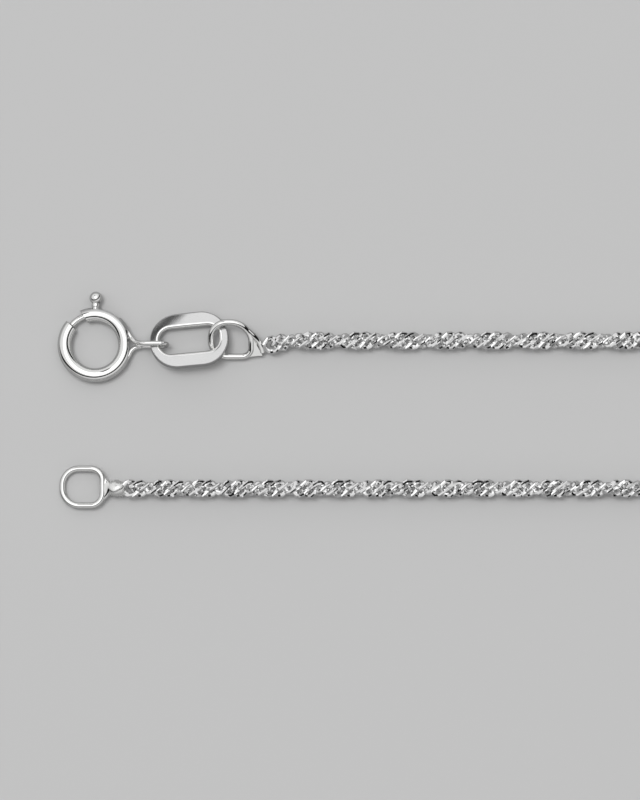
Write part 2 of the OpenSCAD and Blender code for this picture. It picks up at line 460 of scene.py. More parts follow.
class Nodes:
    """Builds a node tree: each call adds a node, and links or sets what it is given."""

    def __init__(self, tree: NodeTree) -> None:
        """Works on a tree."""
        self.tree = tree

    def feed(self, node: Node, feeds: Feeds) -> None:
        """Links sockets, or sets values, to a node's inputs.

        Args:
            node: the node.
            feeds: input name or number to a socket to link or a value to set.
        """
        for key, value in feeds.items():
            if isinstance(value, NodeSocket):
                self.tree.links.new(value, node.inputs[key])
            else:
                node.inputs[key].default_value = value

    def add(self, kind: str, feeds: Feeds | None = None, **settings: object) -> Node:
        """Adds a node.

        Args:
            kind: the node's type.
            feeds: what its inputs are given, as for feed.
            settings: the node's own settings.

        Returns:
            The node.
        """
        node = self.tree.nodes.new(kind)
        for key, value in settings.items():
            setattr(node, key, value)
        self.feed(node, feeds or {})
        return node

    def out(self, kind: str, feeds: Feeds | None = None, **settings: object) -> NodeSocket:
        """Adds a node, as add does, and gives its first output."""
        return self.add(kind, feeds, **settings).outputs[0]

    def maths(self, operation: str, *values: object) -> NodeSocket:
        """Adds a Math node and gives its result."""
        return self.out("ShaderNodeMath", dict(enumerate(values)), operation=operation)


@dataclass(frozen=True)
class Finish:
    """A polished white metal, with the fine scratches and uneven gloss of handled silver.

    Attributes:
        name: the material's name.
        colour: the metal's colour.
        gloss: lowest and highest roughness.
        cloud_mm: size of the patches where the gloss changes.
        scratch_mm: width of the scratches.
        scratch: how deep they look, in thousandths of a millimetre.
        grain_mm: size of the surface's fine unevenness.
        grain: how deep that looks, in thousandths of a millimetre.
        tone_attribute: a number on the mesh that changes the gloss from piece to piece.
        cloud_span: the part of the patches' noise that the roughness follows.
    """

    name: str
    colour: tuple[float, float, float]
    gloss: tuple[float, float]
    cloud_mm: float = 0.8
    scratch_mm: float = 0.03
    scratch: float = 0.5
    grain_mm: float = 0.25
    grain: float = 0.6
    tone_attribute: str = ""
    cloud_span: tuple[float, float] = (0.25, 0.75)

    def material(self) -> Material:
        """Builds the material, once for each finish."""
        found = bpy.data.materials.get(self.name)
        if found:
            return found
        material = bpy.data.materials.new(self.name)
        material.use_nodes = True
        nodes = Nodes(material.node_tree)
        nodes.feed(material.node_tree.nodes["Principled BSDF"], {
            "Metallic": 1.0, "Base Color": (*self.colour, 1.0),
            "Roughness": self._gloss(nodes), "Normal": self._relief(nodes)})
        return material

    @staticmethod
    def _noise(nodes: Nodes, size_mm: float, stretch: Sequence[float], detail: float) -> NodeSocket:
        """A noise of a given size in millimetres on Object coordinates.

        Args:
            nodes: the material's nodes.
            size_mm: the size of its patches.
            stretch: scale along each axis.
            detail: how much fine noise is in it.

        Returns:
            The noise.
        """
        place = nodes.add("ShaderNodeTexCoord").outputs["Object"]
        scale = tuple(s / (size_mm * MM) for s in stretch)
        scaled = nodes.out("ShaderNodeMapping", {"Vector": place, "Scale": scale})
        noise = nodes.add("ShaderNodeTexNoise", {"Vector": scaled, "Scale": 1.0, "Detail": detail})
        return noise.outputs["Fac"]

    def _gloss(self, nodes: Nodes) -> NodeSocket:
        """A roughness that drifts from patch to patch, and from piece to piece if asked."""
        amount = self._noise(nodes, self.cloud_mm, (1, 1, 1), 3.0)
        if self.tone_attribute:
            tone = nodes.add("ShaderNodeAttribute", attribute_name=self.tone_attribute).outputs["Fac"]
            amount = nodes.maths("MULTIPLY", amount, tone)
        return nodes.out("ShaderNodeMapRange", {
            "Value": amount, "From Min": self.cloud_span[0], "From Max": self.cloud_span[1],
            "To Min": self.gloss[0], "To Max": self.gloss[1]})

    def _relief(self, nodes: Nodes) -> NodeSocket:
        """Crossed hair scratches over a soft unevenness."""
        layers = (
            (self.grain_mm, (1.0, 1.0, 1.0), 2.0, self.grain),
            (self.scratch_mm, (1.0, 0.06, 0.3), 1.0, self.scratch),
            (self.scratch_mm, (0.05, 1.0, 0.3), 1.0, self.scratch),
        )
        under: Feeds = {}
        for size, stretch, detail, depth in layers:
            height = self._noise(nodes, size, stretch, detail)
            bump = nodes.out("ShaderNodeBump", {
                "Strength": 1.0, "Distance": depth * MM * MM, "Height": height, **under})
            under = {"Normal": bump}
        return bump


POLISHED = Finish("polished_silver", (0.93, 0.93, 0.92), (0.03, 0.08))
STAMPED = Finish("stamped_silver", (0.55, 0.55, 0.55), (0.12, 0.2), cloud_mm=1.2, scratch=0.7,
                 grain_mm=0.15, grain=1.0)
CUT = Finish("diamond_cut_silver", (0.95, 0.95, 0.95), (0.03, 0.12), tone_attribute="link_tone")
SOLDER = Finish("silver_solder", (0.95, 0.95, 0.94), (0.2, 0.34), cloud_mm=0.3, grain_mm=0.16, grain=5.0)
SAWN = Finish("sawn_silver", (0.72, 0.72, 0.72), (0.3, 0.45), scratch=1.2, grain_mm=0.1, grain=3.0)


@dataclass
class SpringRing:
    """The spring ring's tube with its gap and slot, and the eyelet soldered to its side.

    Attributes:
        gap_top_a, gap_low_a: angles of the gap's upper and lower end at the tube's middle.
        gap_top_skew, gap_low_skew: how far those cuts slant from the radius.
        edge: how far the outer edge is drawn in at the gap.
        lip_a: length of that edge, as an angle.
        skew_a: how far from a cut its slant reaches.
        rough_from_a: angle where the outer side's roughness begins.
        rough_cos: cosine of the angle that it reaches to, round the tube.
        flat_x: where the tube is cut flat for the eyelet.
        arm_top, arm_low: the eyelet's arms, as points from the ring's centre.
        rise: where its loop begins, from the ring's outer side.
        skew: lean of its loop.
        link_gap: how far its loop is drawn to -Y of the oval link's end.
    """

    layout: Layout
    bore_d: float = 0.56
    gap_top_a: float = 111.3
    gap_low_a: float = 140.4
    gap_top_skew: float = 12.4
    gap_low_skew: float = -4.5
    slot_from_a: float = 46.86
    slot_to_a: float = 96.74
    slot_h: float = 0.6
    edge: float = 0.02
    lip_a: float = 0.5
    step_a: float = 2.4
    skew_a: float = 9.0
    rough_from_a: float = 24.0
    rough_cos: float = 0.55
    flat_x: float = 2.47
    flat_wall: float = 0.03
    sides: int = 56
    arm_top: Table = (
        (1.98, 1.62, -0.04), (2.25, 1.28, 0.0), (2.5, 0.8, 0.06), (2.7, 0.47, 0.16),
        (2.98, 0.25, 0.34), (3.28, 0.15, 0.62),
    )
    arm_low: Table = (
        (2.07, -1.52, -0.04), (2.24, -1.24, 0.0), (2.5, -0.78, 0.02), (2.68, -0.42, 0.02),
        (2.96, -0.2, -0.02), (3.3, -0.13, -0.1),
    )
    rise: float = 0.86
    skew: float = 11.0
    link_gap: float = 0.05
    arm_steps: int = 5
    bend_steps: int = 12
    finishes: tuple[Finish, ...] = (POLISHED, SAWN)

    @property
    def mid_r(self) -> float:
        """Radius of the tube's middle."""
        return (self.layout.ring_d - self.layout.tube_d) / 2

    def _cut_angle(self, cut_a: float, skew: float, radius: float) -> float:
        """Where a slanted cut meets a circle about the ring's centre.

        Args:
            cut_a: the cut's angle at the tube's middle.
            skew: its slant from the radius.
            radius: the circle's radius.

        Returns:
            The angle in degrees.
        """
        at, way = polar(self.mid_r, cut_a), polar(1.0, cut_a + skew)
        along = at.dot(way)
        s = math.sqrt(along ** 2 + radius ** 2 - self.mid_r ** 2) - along
        hit = at + s * way
        return math.degrees(math.atan2(hit.y, hit.x))

    def _stations(self) -> list[tuple[float, float, float, float]]:
        """Places along the tube from the gap's lower end round to its upper end.

        Returns:
            For each the angle, the share of the lower end's slant and of the upper end's, and
            how far the outer edge is drawn in.
        """
        slot_a = (self.slot_from_a + 360, self.slot_to_a + 360)
        top_a = self.gap_top_a + 360
        marks = [self.gap_low_a, self.gap_low_a + self.lip_a, *slot_a, top_a - self.lip_a, top_a]
        angles = [marks[0]]
        for a, b in zip(marks, marks[1:]):
            angles += between(a, b, max(1, round((b - a) / self.step_a)))[1:]
        out = []
        for a in angles:
            low = 1 - smooth_step((a - marks[0]) / self.skew_a)
            top = 1 - smooth_step((marks[-1] - a) / self.skew_a)
            out.append((a, low, top, self.edge if a in (marks[0], marks[-1]) else 0.0))
        return out

    def _point(self, station: tuple[float, float, float, float], r: float, phi: float) -> Vector:
        """A point of the tube.

        Args:
            station: a place from _stations.
            r: distance from the tube's middle.
            phi: angle round the tube, 0 on its outer side, in degrees.

        Returns:
            The point, from the ring's centre.
        """
        a, low, top, _ = station
        p = math.radians(phi)
        rho = self.mid_r + r * math.cos(p)
        a += low * (self._cut_angle(self.gap_low_a, self.gap_low_skew, rho) - self.gap_low_a)
        a += top * (self._cut_angle(self.gap_top_a, self.gap_top_skew, rho) - self.gap_top_a)
        point = polar(rho, a, r * math.sin(p))
        wall = self.flat_wall if r < self.layout.tube_d / 3 else 0.0
        point.x = min(point.x, self.flat_x - wall)
        return point

    def _tube(self, draft: Draft) -> None:
        """Builds the hollow tube: outer side, bore, slot and the two cut ends."""
        outer_r, bore_r = self.layout.tube_d / 2, self.bore_d / 2
        slot_phi = math.degrees(math.asin(self.slot_h / 2 / outer_r))
        back = self.sides * 2 // 3
        front = self.sides - back
        outer_phi = between(slot_phi, 360 - slot_phi, back) + between(-slot_phi, slot_phi, front)[1:-1]
        bore_phi = between(90, 270, back) + between(-90, 90, front)[1:-1]
        stations = self._stations()
        outer = [draft.row(self._point(s, outer_r - s[3], p) for p in outer_phi) for s in stations]
        bore = [draft.row(self._point(s, bore_r, p) for p in bore_phi) for s in stations]
        slot = [i for i, s in enumerate(stations) if self.slot_from_a <= s[0] - 360 <= self.slot_to_a]
        first, last = slot[0], slot[-1]
        for i in range(len(stations) - 1):
            open_here = first <= i < last
            for rows in (outer, bore):
                n = back if open_here else self.sides
                rough_here = rows is outer and stations[i][0] >= self.rough_from_a + 360
                for k in range(n):
                    j = (k + 1) % self.sides
                    rough = rough_here and cos_deg(outer_phi[k]) > self.rough_cos
                    draft.face((rows[i][k], rows[i][j], rows[i + 1][j], rows[i + 1][k]), int(rough))
            if open_here:
                for k in (0, back):
                    draft.face((outer[i][k], outer[i + 1][k], bore[i + 1][k], bore[i][k]), 1)
        for i in (0, len(stations) - 1):
            draft.bridge(outer[i], bore[i], finish=1)
        for i in (first, last):
            across = outer[i][back:] + outer[i][:1]
            within = bore[i][back:] + bore[i][:1]
            draft.bridge(across, within, closed=False, finish=1)

    def _eyelet(self, draft: Draft) -> None:
        """Builds the eyelet's wire: upper arm, upright loop and lower arm."""
        size, centre = self.layout, self.layout.ring_centre
        link = size.link_centre
        wire_r = size.eyelet_wire / 2
        mid_r = size.eyelet_in_r + wire_r
        lean = math.radians(self.skew)
        middle_y = link.y - size.link_l / 2 * sin_deg(size.link_turn) - self.link_gap
        y, z = middle_y - centre.y, link.z - centre.z

        def on_loop(x: float, a: float) -> Vector:
            up = mid_r * cos_deg(a)
            return Vector((x, y + up * math.sin(lean), z + up * math.cos(lean)))

        rise_x = size.ring_d / 2 + self.rise
        bend = [on_loop(size.eyelet_end_x + mid_r * sin_deg(a), a)
                for a in between(0, 180, self.bend_steps)]
        points = [Vector(p) for p in self.arm_top] + [on_loop(rise_x, 0)] + bend
        points += [on_loop(rise_x, 180)] + [Vector(p) for p in reversed(self.arm_low)]
        sweep(draft, rounded(points, self.arm_steps), lambda share: wire_r, Vector((0, 1, 0)))

    def build(self) -> Object:
        """Builds the ring with its eyelet."""
        draft = Draft()
        self._tube(draft)
        self._eyelet(draft)
        mesh = draft.mesh("ring_and_eyelet", Matrix.Translation(self.layout.ring_centre))
        return show(mesh, "clasp_ring", Body.NECKLACE,
                    [f.material() for f in self.finishes], crease=40)


@dataclass
class Trigger:
    """The curved bolt with its stem and ball knob.

    Attributes:
        trigger_a: angle of the stem from +X, about the ring's centre.
        from_a: angle of the bolt's blunt end.
        to_a: angle of its tip.
        turned: the stem's profile, each as [distance from the ring's centre, radius].
    """

    layout: Layout
    bolt_d: float = 0.44
    trigger_a: float = 88.8
    from_a: float = 79.8
    to_a: float = 143.4
    turned: Table = (
        (2.23, 0.23), (2.72, 0.25), (2.8, 0.25), (2.83, 0.29), (2.95, 0.3), (3.02, 0.28),
    )
    knob_at: float = 3.45
    knob_r: float = 0.47
    sides: int = 32
    bolt_sides: int = 24
    bolt_steps: int = 30
    tip_steps: int = 4
    knob_steps: int = 22
    finish: Finish = POLISHED

    def _bolt(self, draft: Draft) -> None:
        """Builds the bolt, with its round tip."""
        mid_r, r = (self.layout.ring_d - self.layout.tube_d) / 2, self.bolt_d / 2
        tip_a = math.degrees(r / mid_r)
        shares = [(a, 1.0) for a in between(self.from_a, self.to_a - tip_a, self.bolt_steps)]
        shares += [(self.to_a - tip_a * (1 - sin_deg(b)), cos_deg(b))
                   for b in between(15, 75, self.tip_steps)]
        rows = [draft.row(polar(mid_r + r * w * math.cos(p), a, r * w * math.sin(p))
                          for p in around(self.bolt_sides)) for a, w in shares]
        draft.skin(rows)
        draft.dome(rows[0], polar(mid_r, self.from_a))
        draft.dome(rows[-1], polar(mid_r, self.to_a))

    def _stem(self, draft: Draft) -> None:
        """Turns the stem and the ball knob about the trigger's axis."""
        neck = math.degrees(math.asin(self.turned[-1][1] / self.knob_r))
        profile = list(self.turned)
        profile += [(self.knob_at - self.knob_r * cos_deg(b),
                     self.knob_r * sin_deg(b)) for b in between(neck, 174, self.knob_steps)]
        way = polar(1.0, self.trigger_a)
        side = polar(1.0, self.trigger_a + 90)
        rows = [draft.row(way * at + r * (math.cos(p) * side + math.sin(p) * Vector((0, 0, 1)))
                          for p in around(self.sides)) for at, r in profile]
        draft.skin(rows)
        draft.dome(rows[0], way * profile[0][0])
        draft.dome(rows[-1], way * (self.knob_at + self.knob_r))

    def build(self) -> Object:
        """Builds the trigger."""
        draft = Draft()
        self._bolt(draft)
        self._stem(draft)
        mesh = draft.mesh("bolt_and_knob", Matrix.Translation(self.layout.ring_centre))
        return show(mesh, "clasp_bolt", Body.TRIGGER, [self.finish.material()])


@dataclass
class OvalLink:
    """The flat oval link, stamped from thick strip, with a rounded hole."""

    layout: Layout
    end_r: float = 2.0
    hole_r: float = 0.81
    hole_edge: float = 0.24
    outer_edge: float = 0.1
    edge_steps: int = 6
    face_steps: int = 8
    dip: float = 0.2
    dip_way: tuple[float, float] = (-0.62, 0.78)
    dip_from: float = 1.1
    dip_l: float = 1.6
    finishes: tuple[Finish, ...] = (STAMPED, POLISHED)

    def _section(self) -> list[tuple[float, float, float]]:
        """The rim's section.

        Returns:
            For each point the share of the way from the hole to the outside, how far it stands
            from there, and its height.
        """
        half_t = self.layout.link_t / 2
        out = []
        for side in (1, -1):
            hole = [(0.0, self.hole_edge * (1 - cos_deg(a)),
                     side * (half_t - self.hole_edge * (1 - sin_deg(a))))
                    for a in between(0, 90, self.edge_steps)]
            rim = [(1.0, -self.outer_edge * (1 - cos_deg(a)),
                    side * (half_t - self.outer_edge * (1 - sin_deg(a))))
                   for a in between(0, 90, self.edge_steps)]
            face = [(k / self.face_steps, self.hole_edge * (1 - k / self.face_steps), side * half_t)
                    for k in range(1, self.face_steps)]
            rim.reverse()
            top = hole + face + rim
            out += top if side > 0 else list(reversed(top))
        return out

    def _dip(self, point: Vector) -> float:
        """How far the link's upper face falls away at a place, towards its far upper corner."""
        reach = self.dip_way[0] * point.x + self.dip_way[1] * point.y - self.dip_from
        return self.dip * max(0.0, reach / self.dip_l) ** 2 * (0.5 + point.z / self.layout.link_t)

    def build(self) -> Object:
        """Builds the link, rolled and turned to where it lies."""
        size = self.layout
        hole = rounded_box(size.link_l - 2 * size.rim_end, size.hole_w, [self.hole_r] * 4)
        rim = rounded_box(size.link_l, size.link_w, [self.end_r] * 4)
        section = self._section()
        draft = Draft()
        rows = []
        for a, b in zip(hole, rim):
            way = (b - a).normalized()
            points = [a.lerp(b, share) + way * off + Vector((0, 0, z)) for share, off, z in section]
            rows.append(draft.row(p - Vector((0, 0, self._dip(p))) for p in points))
        draft.skin(rows, closed=True)
        n = len(section)
        draft.finishes = [int(min(k % n, n - 2 - k % n) < self.edge_steps)
                          for k in range(len(draft.faces))]
        turn = Matrix.Rotation(math.radians(size.link_turn), 4, "Z")
        roll = Matrix.Rotation(math.radians(size.link_roll), 4, "X")
        mesh = draft.mesh("flat_oval_link", Matrix.Translation(size.link_centre) @ turn @ roll)
        return show(mesh, "oval_link", Body.NECKLACE,
                    [f.material() for f in self.finishes], 40)


@dataclass
class EndLoop:
    """What both end loops share: the rounded wire loop, its neck at +X."""

    layout: Layout
    radii: tuple[float, ...] = (0.9, 1.22, 1.22, 0.9)
    finishes: tuple[Finish, ...] = (POLISHED, SOLDER)

    def _wire(self, draft: Draft, rise: float = 0.0) -> None:
        """Sweeps the loop's wire round its outline.

        Args:
            draft: takes the faces.
            rise: how far the loop stands off the neck's line, along Y.
        """
        size = self.layout
        path = rounded_box(size.loop_l, size.loop_w, self.radii)
        path = [p + Vector((0, rise, 0)) for p in path]
        sweep(draft, path, lambda share: size.loop_wire / 2, Vector((0, 0, 1)), closed=True)

    def _plate(self, draft: Draft, outline: Sequence[tuple[float, float]], low: float, high: float,
               edge: float) -> None:
        """Builds a flat plate with softened edges.

        Args:
            draft: takes the faces.
            outline: its corners, anticlockwise.
            low: height of its underside.
            high: height of its top.
            edge: width of the softened edge.
        """
        corners = [Vector((x, y, 0)) for x, y in outline]
        n = len(corners)
        inset = []
        for i, corner in enumerate(corners):
            before = (corner - corners[i - 1]).normalized()
            after = (corners[(i + 1) % n] - corner).normalized()
            inward = (Vector((-before.y, before.x, 0)) + Vector((-after.y, after.x, 0))).normalized()
            inset.append(corner + inward * edge)
        levels = ((low, inset), (low + edge, corners), (high - edge, corners), (high, inset))
        rows = [draft.row(p + Vector((0, 0, z)) for p in points) for z, points in levels]
        draft.skin(rows)
        draft.face(rows[0])
        draft.face(rows[-1])


@dataclass
class ClaspEndLoop(EndLoop):
    """The end loop that hangs in the oval link, with its folded flat neck."""

    radii: tuple[float, ...] = (1.6, 1.2, 1.22, 0.72)
    web_t: float = 0.3
    web: Table = (
        (1.5, 0.36), (1.4, 0.1), (1.38, -0.5), (1.24, -0.92), (1.0, -1.2), (1.1, -1.42),
        (1.5, -1.34), (2.0, -1.28), (2.34, -1.26), (2.3, -1.1), (2.0, -0.5), (1.7, 0.06),
    )
    strand: Table = (
        (0.84, 1.04, 0.0), (1.08, 0.84, 0.0), (1.4, 0.56, 0.02), (1.72, 0.24, 0.05), (2.02, -0.14, 0.05),
        (2.2, -0.6, 0.04), (2.3, -0.98, 0.03),
    )
    strand_d: float = 0.4
    strand_steps: int = 8
    web_edge: float = 0.06

    def build(self) -> Object:
        """Builds the loop, tilted to where it hangs."""
        draft = Draft()
        self._wire(draft)
        self._plate(draft, self.web, -self.web_t / 2, self.web_t / 2, self.web_edge)
        path = rounded([Vector(p) for p in self.strand], self.strand_steps)
        sweep(draft, path, lambda share: self.strand_d / 2, Vector((0, 0, 1)))
        tilt = Matrix.Rotation(math.radians(self.layout.loop_tilt), 4, "X")
        mesh = draft.mesh("loop_at_clasp", Matrix.Translation(self.layout.loop_centre) @ tilt)
        return show(mesh, "end_loop_clasp", Body.NECKLACE,
                    [f.material() for f in self.finishes], crease=40)


@dataclass
class TailEndLoop(EndLoop):
    """The end loop at the tail, with its flared neck and lump of solder.

    Attributes:
        rise: how far the loop stands off the neck's line.
        lumpy: how uneven the lump is, as a share of its radius.
        sections: the neck and the lump along X from the loop's near wire, each as
            [distance, upper half width, lower half width, half height, finish].
        waves: the lump's unevenness, each as [height, waves round it, turn along it, start].
        tip: how far the lump's end is domed.
    """

    rise: float = 0.1
    sections: Table = (
        (-0.2, 1.2, 1.08, 0.12, 0), (-0.08, 1.12, 1.02, 0.17, 0), (0.06, 1.0, 0.92, 0.19, 0),
        (0.2, 0.84, 0.8, 0.21, 0), (0.34, 0.66, 0.66, 0.27, 0), (0.46, 0.54, 0.54, 0.36, 0),
        (0.56, 0.5, 0.5, 0.46, 1), (0.68, 0.56, 0.54, 0.55, 1), (0.84, 0.63, 0.61, 0.6, 1),
        (1.0, 0.65, 0.63, 0.62, 1), (1.18, 0.63, 0.62, 0.62, 1), (1.34, 0.58, 0.6, 0.56, 1),
        (1.48, 0.53, 0.56, 0.52, 1), (1.6, 0.46, 0.48, 0.44, 1), (1.66, 0.32, 0.34, 0.3, 1),
    )
    lumpy: float = 0.07
    waves: Table = ((1.0, 3, 5.1, 0.0), (0.7, 5, -7.3, 1.0))
    tip: float = 0.05
    sides: int = 32

    def _hollow(self, at: float, a: float) -> float:
        """How far the lump's surface dips, as a share of its radius, at a place and an angle."""
        wave = sum(high * math.sin(count * a + along * at + start)
                   for high, count, along, start in self.waves)
        return self.lumpy * (0.5 + 0.5 * wave)

    def _neck(self, draft: Draft) -> None:
        """Lofts the neck and the lump through their sections."""
        near_x = self.layout.loop_l / 2
        rows = []
        for at, top, low, half_h, finish in self.sections:
            middle = Vector((near_x + at, 0, 0))
            ring = []
            for a in around(self.sides):
                half_w = top if math.cos(a) > 0 else low
                point = Vector((middle.x, half_w * math.cos(a), half_h * math.sin(a)))
                ring.append(point.lerp(middle, finish * self._hollow(at, a)))
            rows.append(draft.row(ring))
        for (a, b), section in zip(zip(rows, rows[1:]), self.sections):
            draft.bridge(a, b, finish=section[4])
        draft.dome(rows[0], Vector((near_x + self.sections[0][0], 0, 0)))
        draft.dome(rows[-1], Vector((near_x + self.sections[-1][0] + self.tip, 0, 0)), 1)

    def build(self) -> Object:
        """Builds the loop, sloping down to where it rests."""
        size = self.layout
        draft = Draft()
        self._wire(draft, self.rise)
        self._neck(draft)
        slope = Matrix.Rotation(math.radians(-size.tail_slope), 4, "Y")
        inner = Matrix.Translation((size.loop_l / 2 - size.tail_l, 0, 0))
        place = Matrix.Translation((size.tail_end_x, -size.run_y, size.tail_z)) @ slope @ inner
        mesh = draft.mesh("loop_at_tail", place)
        return show(mesh, "end_loop_tail", Body.NECKLACE,
                    [f.material() for f in self.finishes], crease=40)


@dataclass
class Links:
    """The chain itself: twisted links, each through the one before it and turned on.

    Inside the chain each link also cuts a little into the second one along, because the wire
    is thick for the pitch.

    Attributes:
        pitch: distance from one link to the next.
        link_l: length of a link along its wire's middle.
        link_w: width of a link along its wire's middle.
        squareness: 1 for an ellipse, less for fuller corners.
        wire: width of the wire.
        flatness: its thickness as a share of its width.
        cut_w: width that a link's sides are cut flat to.
        cut_t: thickness that its faces are cut flat to.
        twist: how far each end of a link is twisted from its middle.
        yaw: how far a link lies askew, in its own plane.
        turn_from: turn from link to link at the clasp end.
        turn_to: the same at the tail.
        wobble: how far a link strays from its place, in degrees.
        seed: fixes what is random.
        height: how high the chain's middle lies.
        link_steps: steps round a link.
        wire_sides: sides of the wire.
        lead: the first places past the clasp end's neck, each as [distance along, drop].
        end_at: the last places before the tail's lump, as distances from it.
        flare_steps: steps in each outward bend.
        neck_steps: steps in the wide bend.
    """

    layout: Layout
    pitch: float = 0.57
    link_l: float = 1.1
    link_w: float = 1.02
    squareness: float = 0.85
    wire: float = 0.4
    flatness: float = 0.85
    cut_w: float = 1.36
    cut_t: float = 0.7
    twist: float = -40.0
    yaw: float = 4.0
    turn_from: float = 31.1
    turn_to: float = 40.0
    wobble: float = 4.0
    seed: int = 7
    height: float = 0.785
    link_steps: int = 14
    wire_sides: int = 8
    lead: Table = (
        (0.5, 0.304), (1.2, 0.14), (2.0, 0.02), (3.2, 0.0), (8.0, 0.0),
    )
    end_at: tuple[float, float] = (4.0, 0.4)
    flare_steps: int = 24
    neck_steps: int = 120
    finish: Finish = CUT

    def _side(self) -> list[tuple[float, float]]:
        """One half of the route, from a straight run to the far side of the wide bend."""
        size = self.layout
        flare, neck = size.flare_a, size.neck_r
        neck_x = size.half_l - size.chain_w / 2 - neck
        run_end = size.run_l - size.half_l
        out = [(run_end + size.flare_r * sin_deg(a),
                size.run_y + size.flare_r * (1 - cos_deg(a)))
               for a in between(0, flare, self.flare_steps)]
        out += [(neck_x - neck * sin_deg(a), neck * cos_deg(a))
                for a in between(flare, -90, self.neck_steps)[1:]]
        return out

    def _route(self) -> list[Vector]:
        """The chain's middle, from the clasp end's neck round to the tail's lump."""
        size = self.layout
        start = [(size.chain_start_x + x, size.run_y - drop) for x, drop in self.lead]
        side = self._side()
        back = [(x, -y) for x, y in reversed(side[:-1])]
        end = [(size.tail_end_x + x, -size.run_y) for x in self.end_at]
        return [Vector((x, y, self.height)) for x, y in start + side + back + end]

    def _settings(self, count: int) -> list[tuple[str, str, object]]:
        """The node group's inputs.

        Args:
            count: the number of links.

        Returns:
            For each its name, its kind of socket and its value, in metres and radians.
        """
        lengths = {"Link Length": self.link_l, "Link Width": self.link_w, "Wire": self.wire,
                   "Cut Width": self.cut_w, "Cut Thickness": self.cut_t}
        angles = {"Twist": self.twist, "Yaw": self.yaw, "Turn From": self.turn_from,
                  "Turn To": self.turn_to, "Wobble": self.wobble}
        shares = {"Squareness": self.squareness, "Flatness": self.flatness}
        numbers = {"Count": count, "Link Steps": self.link_steps, "Wire Sides": self.wire_sides,
                   "Seed": self.seed}
        out = [(name, "Float", value * MM) for name, value in lengths.items()]
        out += [(name, "Float", math.radians(value)) for name, value in angles.items()]
        out += [(name, "Float", value) for name, value in shares.items()]
        out += [(name, "Int", value) for name, value in numbers.items()]
        return out + [("Finish", "Material", self.finish.material())]

    @staticmethod
    def _link_shape(nodes: Nodes, given: NodeOutputs) -> NodeSocket:
        """Nodes for one link: a squarish ring of wire, twisted, laid askew and cut flat.

        Args:
            nodes: the tree.
            given: the group's inputs.

        Returns:
            The link's geometry.
        """

        def stretched(value: NodeSocket, size: NodeSocket) -> NodeSocket:
            full = nodes.maths("POWER", nodes.maths("ABSOLUTE", value), given["Squareness"])
            signed = nodes.maths("MULTIPLY", full, nodes.maths("SIGN", value))
            return nodes.maths("MULTIPLY", signed, nodes.maths("MULTIPLY", size, 0.5))

        def cut(value: NodeSocket, size: NodeSocket) -> NodeSocket:
            half = nodes.maths("MULTIPLY", size, 0.5)
            above = nodes.maths("MAXIMUM", value, nodes.maths("MULTIPLY", half, -1.0))
            return nodes.maths("MINIMUM", above, half)

        here = nodes.out("GeometryNodeInputPosition")
        circle = nodes.out("GeometryNodeCurvePrimitiveCircle",
                           {"Resolution": given["Link Steps"], "Radius": 1.0})
        x, y, _ = nodes.add("ShaderNodeSeparateXYZ", {0: here}).outputs
        outline = nodes.out("ShaderNodeCombineXYZ", {
            0: stretched(x, given["Link Length"]), 1: stretched(y, given["Link Width"])})
        ring = nodes.out("GeometryNodeSetPosition", {"Geometry": circle, "Position": outline})
        section = nodes.out("GeometryNodeCurvePrimitiveCircle", {
            "Resolution": given["Wire Sides"], "Radius": nodes.maths("MULTIPLY", given["Wire"], 0.5)})
        half_step = nodes.out("ShaderNodeCombineXYZ",
                              {2: nodes.maths("DIVIDE", math.pi, given["Wire Sides"])})
        turned = nodes.out("GeometryNodeTransform", {"Geometry": section, "Rotation": half_step})
        wire = nodes.out("GeometryNodeCurveToMesh", {"Curve": ring, "Profile Curve": turned})
        scale = nodes.out("ShaderNodeCombineXYZ", {0: 1.0, 1: 1.0, 2: given["Flatness"]})
        place = nodes.out("ShaderNodeVectorMath", {0: here, 1: scale}, operation="MULTIPLY")
        along = nodes.out("ShaderNodeSeparateXYZ", {0: place})
        end_share = nodes.maths("DIVIDE", nodes.maths("MULTIPLY", along, 2.0), given["Link Length"])
        twisted = nodes.out("ShaderNodeVectorRotate", {
            "Vector": place, "Angle": nodes.maths("MULTIPLY", end_share, given["Twist"])},
            rotation_type="X_AXIS")
        askew = nodes.out("ShaderNodeVectorRotate", {"Vector": twisted, "Angle": given["Yaw"]},
                          rotation_type="Z_AXIS")
        x, y, z = nodes.add("ShaderNodeSeparateXYZ", {0: askew}).outputs
        flat = nodes.out("ShaderNodeCombineXYZ", {
            0: x, 1: cut(y, given["Cut Width"]), 2: cut(z, given["Cut Thickness"])})
        return nodes.out("GeometryNodeSetPosition", {"Geometry": wire, "Position": flat})

